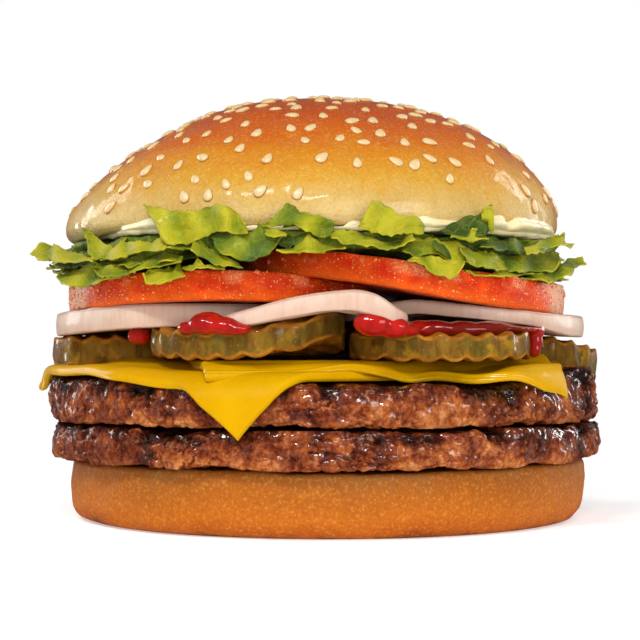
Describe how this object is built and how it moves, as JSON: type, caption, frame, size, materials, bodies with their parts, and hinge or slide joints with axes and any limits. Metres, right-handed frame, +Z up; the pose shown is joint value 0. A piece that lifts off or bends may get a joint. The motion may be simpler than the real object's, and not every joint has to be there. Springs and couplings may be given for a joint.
{
  "type": "double cheeseburger",
  "caption": "Double cheeseburger: two beef patties, cheese, pickles, ketchup, onion, tomato, lettuce and mayonnaise in a sesame bun.",
  "frame": {"origin": "middle of the flat underside of the bottom bun, on the surface that the burger stands on", "axes": "+Z up through the bun, +X to the right as seen from the front, +Y to the back; the hanging cheese corner is at the front, towards -Y"},
  "size_m": [0.1266, 0.1256, 0.0934],
  "materials": {
    "heel_bun": "matt, toasted",
    "crown_bun": "glazed, satin",
    "beef_patty": "rough, greasy sheen",
    "cheese": "satin",
    "pickle": "wet, satin",
    "ketchup": "wet gloss",
    "onion": "moist, satin",
    "tomato": "moist gloss",
    "lettuce": "satin",
    "mayonnaise": "moist, satin"
  },
  "bodies": {
    "root": {"heel": "heel_bun", "crown": "crown_bun", "lower_patty": "beef_patty", "upper_patty": "beef_patty", "cheese_lower": "cheese", "cheese_upper": "cheese", "ketchup": "ketchup", "ketchup_left": "ketchup", "ketchup_middle": "ketchup", "ketchup_drip": "ketchup", "lettuce": "lettuce", "mayonnaise": "mayonnaise", "pickle_back_left": "pickle", "pickle_front_left": "pickle", "pickle_front_right": "pickle", "pickle_right": "pickle", "pickle_rear_right": "pickle", "pickle_rear": "pickle", "pickle_rear_left": "pickle", "onion_left": "onion", "onion_right": "onion", "onion_middle": "onion", "onion_rear_left": "onion", "onion_rear_right": "onion", "tomato_left": "tomato", "tomato_right": "tomato", "tomato_rear_left": "tomato", "tomato_rear_right": "tomato"}
  },
  "joints": []
}
